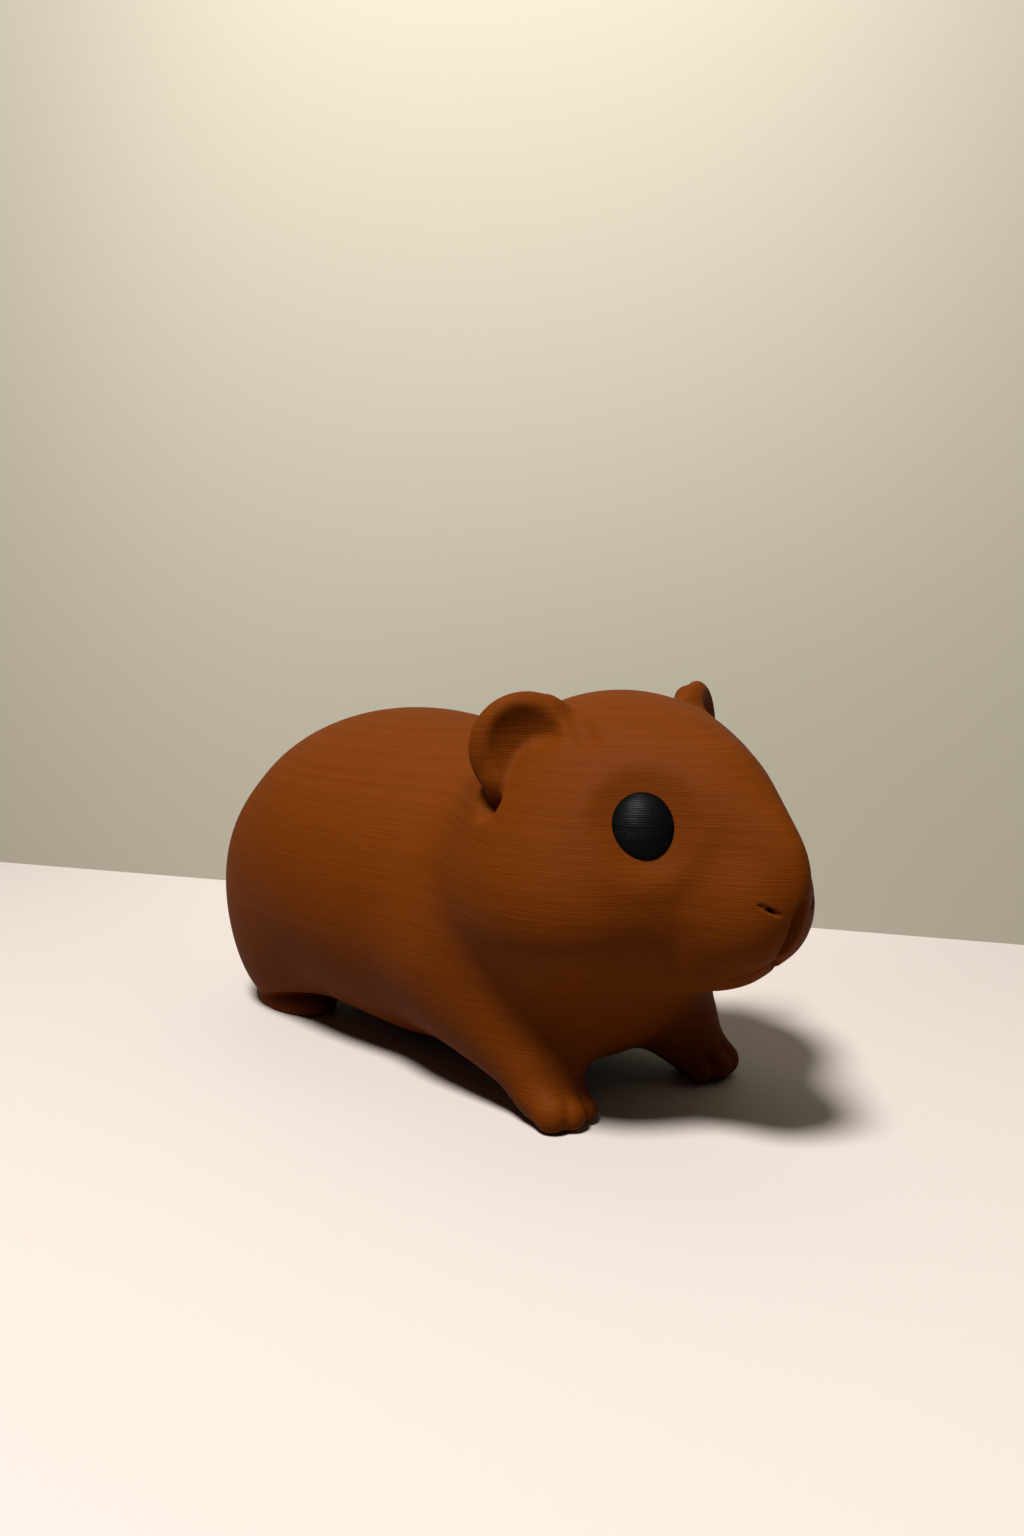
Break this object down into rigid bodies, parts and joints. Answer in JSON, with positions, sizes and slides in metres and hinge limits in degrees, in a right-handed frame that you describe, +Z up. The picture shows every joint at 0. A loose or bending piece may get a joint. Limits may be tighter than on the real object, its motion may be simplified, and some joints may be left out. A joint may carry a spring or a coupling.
{
  "type": "guinea pig figurine",
  "caption": "Small printed plastic figurine of a guinea pig standing on its four feet, smooth brown body with level print lines and black inlaid eyes.",
  "frame": {"origin": "on the floor, in the mid-plane, below the middle of the length", "axes": "+X to the nose, +Y to the animal's left, +Z up"},
  "size_m": [0.086, 0.0436, 0.0428],
  "materials": {
    "brown_plastic": "fine level print lines, soft silky sheen",
    "black_plastic": "black, satin gloss, with the same print lines"
  },
  "bodies": {
    "root": {"trunk": "brown_plastic", "head": "brown_plastic", "ear_left": "brown_plastic", "ear_right": "brown_plastic", "eye_left": "black_plastic", "eye_right": "black_plastic", "foreleg_left": "brown_plastic", "foreleg_right": "brown_plastic", "hindleg_left": "brown_plastic", "hindleg_right": "brown_plastic"}
  },
  "joints": []
}
